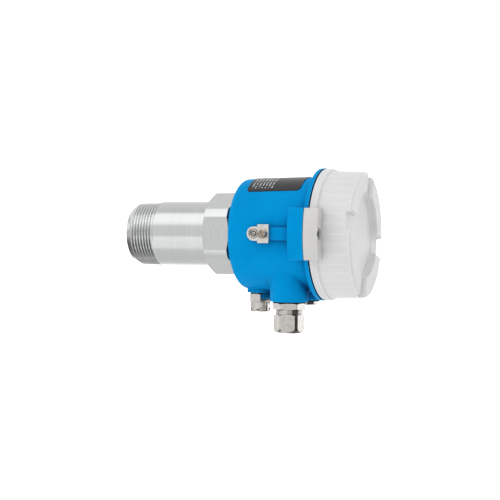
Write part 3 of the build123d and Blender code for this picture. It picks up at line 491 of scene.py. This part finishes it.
# the neck from its lip to the hexagon; the rings of the thread are then drawn in to its groove
def spinThreadedNeck(bm, c=connection):
    threadEnd = c["threadLength"] + c["runOutTurns"] * c["threadPitch"]
    rings = round(threadEnd / c["threadPitch"] * c["ringsPerPitch"])
    outline = [(0.0, c["lipBore"])]
    outline += [(threadEnd * n / rings, c["neckRadius"]) for n in range(rings + 1)]
    outline += [(c["hexStart"] + c["hexChamfer"], c["neckRadius"])]
    outline += [(c["hexStart"] + c["hexChamfer"], c["boreRadius"])]
    outline += [(c["lipLength"], c["boreRadius"]), (c["lipLength"], c["lipBore"])]
    spinRing(bm, outline, c["steps"])
    for vert in bm.verts:
        reach = math.hypot(vert.co.y, vert.co.z)
        if vert.co.x <= threadEnd + 1e-9 and reach > c["neckRadius"] - 1e-6:
            turn = math.atan2(-vert.co.y, vert.co.z) / (2 * math.pi) % 1.0
            scale = threadSurface(vert.co.x, turn) / reach
            vert.co.y *= scale
            vert.co.z *= scale


# the hexagon and the spigot: a turned collar with six flats cut off it
def spinCollar(bm, c=connection):
    flat = c["hexFlats"] / 2
    outline = [
        (c["hexStart"], c["boreRadius"]),
        (c["hexStart"], flat + c["hexRim"]),
        (c["hexStart"] + c["hexChamfer"], c["hexCorner"]),
        (c["hexEnd"] - c["hexChamfer"], c["hexCorner"]),
        (c["hexEnd"], flat + c["hexRim"]),
        (c["hexEnd"], c["spigotRadius"]),
        (c["spigotEnd"], c["spigotRadius"]),
        (c["spigotEnd"], c["boreRadius"]),
    ]
    spinRing(bm, outline, c["steps"])
    for side in range(6):
        normal = Matrix.Rotation(math.radians(60 * side), 3, "X") @ Vector((0, 1, 0))
        cut = bmesh.ops.bisect_plane(
            bm,
            geom=bm.verts[:] + bm.edges[:] + bm.faces[:],
            plane_co=normal * flat,
            plane_no=normal,
            clear_outer=True,
        )
        rim = [e for e in cut["geom_cut"] if isinstance(e, bmesh.types.BMEdge)]
        bmesh.ops.contextual_create(bm, geom=rim)


def makeProcessConnection(c=connection):
    neck, collar = bmesh.new(), bmesh.new()
    spinThreadedNeck(neck)
    spinCollar(collar)
    mesh = bpy.data.meshes.new("collar")
    collar.to_mesh(mesh)
    collar.free()
    neck.from_mesh(mesh)
    bpy.data.meshes.remove(mesh)
    piece = addPiece(
        neck,
        "processConnection",
        "root",
        "turnedSteel",
        "process_connection",
        c["smoothAngle"],
    )
    bevel = piece.modifiers.new("brokenEdges", "BEVEL")
    bevel.width = c["edge"]
    bevel.segments = 2
    bevel.limit_method = "ANGLE"
    bevel.angle_limit = math.radians(c["edgeAngle"])


makeProcessConnection()
print("process connection made")

# Nameplate: rows of plain bars on the dark foil, between two angles from the top
plate = {
    "start": 100.2 * mm,
    "rowPitch": 2.45 * mm,
    "rows": 7,
    "rowWidth": 0.95 * mm,
    "ink": 0.05 * mm,
    "from": -39.0,
    "to": 38.0,
    "gap": 2.2,
    "lengths": [9.0, 14.0, 5.5, 18.0, 7.5],
    "endBand": 3 * mm,
}
degreesPerStep = 3


# outer radius of the plate at a place along the sensor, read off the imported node
def plateRadius(x):
    low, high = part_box("nameplate")
    reach = {}
    for vert in nodes["nameplate"].data.vertices:
        for end in (0, 1):
            if abs(vert.co.x - (low[0], high[0])[end]) < plate["endBand"]:
                reach[end] = max(reach.get(end, 0.0), math.hypot(vert.co.y, vert.co.z))
    share = (x - low[0]) / (high[0] - low[0])
    return reach[0] + (reach[1] - reach[0]) * share


# a flat bar bent round X, swept from its square end between two angles
def sweepBar(bm, x, width, radius, height, start, end):
    corners = ((x, radius), (x + width, radius), (x + width, radius + height), (x, radius + height))
    face = bm.faces.new([bm.verts.new((a, 0, r)) for a, r in corners])
    verts = list(face.verts)
    bmesh.ops.rotate(bm, verts=verts, cent=(0, 0, 0), matrix=Matrix.Rotation(math.radians(start), 3, "X"))
    bmesh.ops.spin(
        bm,
        geom=verts + list(face.edges) + [face],
        cent=(0, 0, 0),
        axis=(1, 0, 0),
        dvec=(0, 0, 0),
        angle=math.radians(end - start),
        steps=max(2, round((end - start) / degreesPerStep)),
    )


def makeNameplateFields():
    bm = bmesh.new()
    dash = 0
    for row in range(plate["rows"]):
        x = plate["start"] + row * plate["rowPitch"]
        radius = plateRadius(x) - plate["ink"] / 2
        place = plate["from"]
        while place < plate["to"]:
            length = plate["lengths"][dash % len(plate["lengths"])]
            dash += 1
            end = min(place + length, plate["to"])
            sweepBar(bm, x, plate["rowWidth"], radius, plate["ink"], place, end)
            place = end + plate["gap"]
        dash += row
    addPiece(bm, "nameplateFields", "root", "paleInk")


makeNameplateFields()

# Earth tab: two plain raised rings on a dark disc in its round end
earthTab = {
    "x": 108.7 * mm,
    "floor": 43.6 * mm,
    "hole": 0.2 * mm,
    "disc": 3.45 * mm,
    "rings": ((0.5 * mm, 1.4 * mm), (2.1 * mm, 3.1 * mm)),
    "high": 0.3 * mm,
    "skin": 0.02 * mm,
    "steps": 48,
}


def makeEarthMark(t=earthTab):
    skin = t["skin"]
    disc = bmesh.new()
    outline = [(-skin, t["hole"]), (-skin, t["disc"]), (skin, t["disc"]), (skin, t["hole"])]
    spinRing(disc, outline, t["steps"])
    rings = bmesh.new()
    for low, high in t["rings"]:
        spinRing(rings, [(skin / 2, low), (t["high"], (low + high) / 2), (skin / 2, high)], t["steps"])
    place = Matrix.Translation((t["x"], -t["floor"], 0)) @ Matrix.Rotation(math.radians(-90), 4, "Z")
    marks = ((disc, "earthMarkGround", "etchedSteel"), (rings, "earthMarkRings", "brightSteel"))
    for bm, name, finish in marks:
        bmesh.ops.transform(bm, matrix=place, verts=bm.verts)
        addPiece(bm, name, "root", finish)


makeEarthMark()

# Gland body: the turned thread between its hexagon and the nut, seen as fine ridges
glandThread = {
    "x": 126.6 * mm,
    "y": -17.0 * mm,
    "seat": 47.9 * mm,
    "start": 5.7 * mm,
    "end": 9.1 * mm,
    "core": 8.9 * mm,
    "crest": 9.8 * mm,
    "wall": 0.3 * mm,
    "pitch": 1.7 * mm,
    "crestShares": (0.35, 0.65),
    "steps": 72,
}


def makeGlandThread(g=glandThread):
    bm = bmesh.new()
    ridges = round((g["end"] - g["start"]) / g["pitch"])
    outline = [(g["start"], g["core"] - g["wall"]), (g["start"], g["core"])]
    for ridge in range(ridges):
        first = g["start"] + ridge * g["pitch"]
        outline += [(first + share * g["pitch"], g["crest"]) for share in g["crestShares"]]
        outline += [(first + g["pitch"], g["core"])]
    outline += [(g["start"] + ridges * g["pitch"], g["core"] - g["wall"])]
    spinRing(bm, outline, g["steps"])
    place = Matrix.Translation((g["x"], g["y"], -g["seat"])) @ Matrix.Rotation(math.radians(90), 4, "Y")
    bmesh.ops.transform(bm, matrix=place, verts=bm.verts)
    addPiece(bm, "glandThread", "root", "nickelPlate")


makeGlandThread()

# Vent cap: narrow dark sheets round its lower rim, painted shade for the openings of its slots; first is the
# angle of one of them
ventSlotShade = {"count": 3, "first": 85.0, "wide": 16.0, "low": 1.0 * mm, "high": 0.9 * mm, "skin": 0.03 * mm}


def makeVentSlotShade(v=ventSlotShade):
    low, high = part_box("vent_cap")
    radius = (high[0] - low[0]) / 2
    bm = bmesh.new()
    for slot in range(v["count"]):
        start = v["first"] - v["wide"] / 2 + 360 / v["count"] * slot
        sweepBar(bm, 0, v["high"], radius - v["skin"], 2 * v["skin"], start, start + v["wide"])
    centre = ((low[0] + high[0]) / 2, (low[1] + high[1]) / 2, low[2] + v["low"] + v["high"])
    place = Matrix.Translation(centre) @ Matrix.Rotation(math.radians(90), 4, "Y")
    bmesh.ops.transform(bm, matrix=place, verts=bm.verts)
    # painted shade: thin dark sheets in the seals' rubber finish, where the slots open
    addPiece(bm, "ventSlotShade", "root", "nitrileRubberAndSlotShade")


makeVentSlotShade()
print("plate fields, earth mark, gland thread and vent slots made")

# Studio: a white paper floor that reflections don't see, and a sky of soft panels round the sensor.
# Panels are (angle about X from the front, upwards positive, brightness); the steel shows them as bands.
studio = {
    "floorZ": -230 * mm,
    "reach": 2.4,
    "paper": "#FFFFFF",
    "paperGlow": 0.05,
    "domeRadius": 8.0,
    "domeGlow": 1.0,
    "peak": 1.6,  # brightness that a full ramp stands for
    "panels": [
        (-180, 1.25),
        (-152, 1.25),
        (-132, 0.85),
        (-100, 0.80),
        (-62, 0.86),
        (-52, 1.15),
        (-14, 1.25),
        (-9, 0.88),
        (27, 0.90),
        (34, 1.32),
        (50, 1.46),
        (72, 1.40),
        (80, 0.84),
        (140, 0.90),
        (160, 1.20),
        (180, 1.25),
    ],
    # share of light left, by angle from the front towards the cover: a dark card beside the camera
    "flag": [
        (-180, 1.0),
        (-115, 1.0),
        (-100, 0.66),
        (-80, 0.66),
        (-65, 1.0),
        (-20, 1.0),
        (20, 0.95),
        (38, 0.8),
        (48, 0.06),
        (98, 0.06),
        (112, 1.15),
        (180, 1.2),
    ],
    # how far up the card reaches: (height of the direction, how much of the card is there)
    "flagTop": [(-1.0, 0.0), (-0.8, 0.0), (-0.5, 1.0), (0.4, 1.0), (0.7, 0.2), (1.0, 0.2)],
    # towards both ends of the sensor the light comes from above: (height of the direction, share)
    "above": [(-1.0, 0.1), (-0.3, 0.38), (-0.04, 0.95), (0.4, 1.3), (1.0, 1.5)],
    # where along the sensor that holds: (lengthwise part of the direction, how far)
    "ends": [(-1.0, 1.0), (-0.7, 1.0), (-0.5, 0.0), (-0.15, 0.0), (0.05, 1.0), (1.0, 1.0)],
}


# how bright the studio is over a value that runs from -reach to reach
def lightProfile(tree, source, reach, stops, peak=1.0):
    share = addNode(tree, "ShaderNodeMapRange", {"From Min": -reach, "From Max": reach}, {"Value": source})
    ramp = addNode(tree, "ShaderNodeValToRGB", {}, {"Fac": (share, "Result")})
    elements = ramp.color_ramp.elements
    while len(elements) < len(stops):
        elements.new(0.5)
    for element, (place, value) in zip(elements, stops):
        element.position = (place / reach + 1) / 2
        element.color = (value / peak, value / peak, value / peak, 1)
    return ramp


# the same round the sensor: over the angle, in degrees, of two parts of a direction
def lightRound(tree, high, low, stops):
    angle = addNode(tree, "ShaderNodeMath", {"operation": "ARCTAN2"}, {0: high, 1: low})
    turns = addNode(tree, "ShaderNodeMath", {"operation": "DEGREES"}, {0: (angle, "Value")})
    return lightProfile(tree, (turns, "Value"), 180, stops, studio["peak"])


def makeSky():
    world = bpy.data.worlds.new("studioSky")
    world.use_nodes = True
    tree = world.node_tree
    coords = addNode(tree, "ShaderNodeTexCoord")
    parts = addNode(tree, "ShaderNodeSeparateXYZ", {}, {"Vector": (coords, "Generated")})
    front = addNode(tree, "ShaderNodeMath", {"operation": "MULTIPLY", 1: -1.0}, {0: (parts, "Y")})
    panels = lightRound(tree, (parts, "Z"), (front, "Value"), studio["panels"])
    flag = lightRound(tree, (parts, "X"), (front, "Value"), studio["flag"])
    above = lightProfile(tree, (parts, "Z"), 1, studio["above"], studio["peak"])
    ends = lightProfile(tree, (parts, "X"), 1, studio["ends"])
    flagTop = lightProfile(tree, (parts, "Z"), 1, studio["flagTop"])

    # the card and the light from above, each where it holds, and plain light elsewhere
    plain = {"data_type": "VECTOR", 4: (1 / studio["peak"],) * 3}
    card = addNode(tree, "ShaderNodeMix", plain, {0: (flagTop, "Color"), 5: (flag, "Color")})
    lifted = addNode(tree, "ShaderNodeMix", plain, {0: (ends, "Color"), 5: (above, "Color")})
    times = {"operation": "MULTIPLY"}
    carded = addNode(tree, "ShaderNodeVectorMath", times, {0: (panels, "Color"), 1: (card, 1)})
    light = addNode(tree, "ShaderNodeVectorMath", times, {0: (carded, "Vector"), 1: (lifted, 1)})
    sky = tree.nodes["Background"]
    sky.inputs["Strength"].default_value = studio["peak"] ** 3
    tree.links.new(light.outputs["Vector"], sky.inputs["Color"])
    scene.world = world


# a sheet of white paper; finish holds values of its shader
def addPaper(bm, name, glow, finish):
    mesh = bpy.data.meshes.new(name)
    bm.to_mesh(mesh)
    bm.free()
    paper = hexColour(studio["paper"])
    settings = finish | {"Base Color": paper, "Emission Color": paper, "Emission Strength": glow}
    mesh.materials.append(startMaterial(f"{name}Paper", settings)[0])
    sheet = bpy.data.objects.new(name, mesh)
    scene.collection.objects.link(sheet)
    return sheet


def makeFloor():
    bm = bmesh.new()
    bmesh.ops.create_grid(bm, x_segments=1, y_segments=1, size=studio["reach"])
    bmesh.ops.translate(bm, verts=bm.verts, vec=(0, 0, studio["floorZ"]))
    floor = addPaper(bm, "floor", studio["paperGlow"], {"Roughness": 0.9, "Specular IOR Level": 0.0})
    floor.visible_glossy = False


# white all round behind the floor, for the camera alone, so that every view has a plain background
def makeBackdrop():
    bm = bmesh.new()
    bmesh.ops.create_icosphere(bm, subdivisions=3, radius=studio["domeRadius"])
    bmesh.ops.reverse_faces(bm, faces=bm.faces)
    backdrop = addPaper(bm, "backdrop", studio["domeGlow"], {"Specular IOR Level": 0.0})
    for ray in ("diffuse", "glossy", "transmission", "volume_scatter", "shadow"):
        setattr(backdrop, f"visible_{ray}", False)


makeSky()
makeFloor()
makeBackdrop()
print("studio made")

# Camera: where the photograph was taken from. The sensor hangs turned a little about its own axis,
# so the camera goes round that axis instead.
view = {
    "target": (90.23 * mm, 0.0, -11.82 * mm),
    "azimuth": 20.14,
    "elevation": 2.07,
    "distance": 888.2 * mm,
    "aboutAxis": 1.62,
    "focalPixels": 1211.9,
    "photoPixels": 500,
    "sensor": 36.0,
    "nearest": 0.05,
    "farthest": 20.0,
}


def makeCamera():
    turn, lift = math.radians(view["azimuth"]), math.radians(view["elevation"])
    back = Vector((math.sin(turn) * math.cos(lift), -math.cos(turn) * math.cos(lift), math.sin(lift)))
    lens = bpy.data.cameras.new("photoCamera")
    lens.sensor_width = view["sensor"]
    lens.lens = view["focalPixels"] / view["photoPixels"] * view["sensor"]
    lens.clip_start, lens.clip_end = view["nearest"], view["farthest"]
    holder = bpy.data.objects.new("photoCamera", lens)
    place = Matrix.Translation(Vector(view["target"]) + back * view["distance"])
    aim = back.to_track_quat("Z", "Y").to_matrix().to_4x4()
    holder.matrix_world = Matrix.Rotation(math.radians(view["aboutAxis"]), 4, "X") @ place @ aim
    scene.collection.objects.link(holder)
    scene.camera = holder


makeCamera()
print("camera placed")
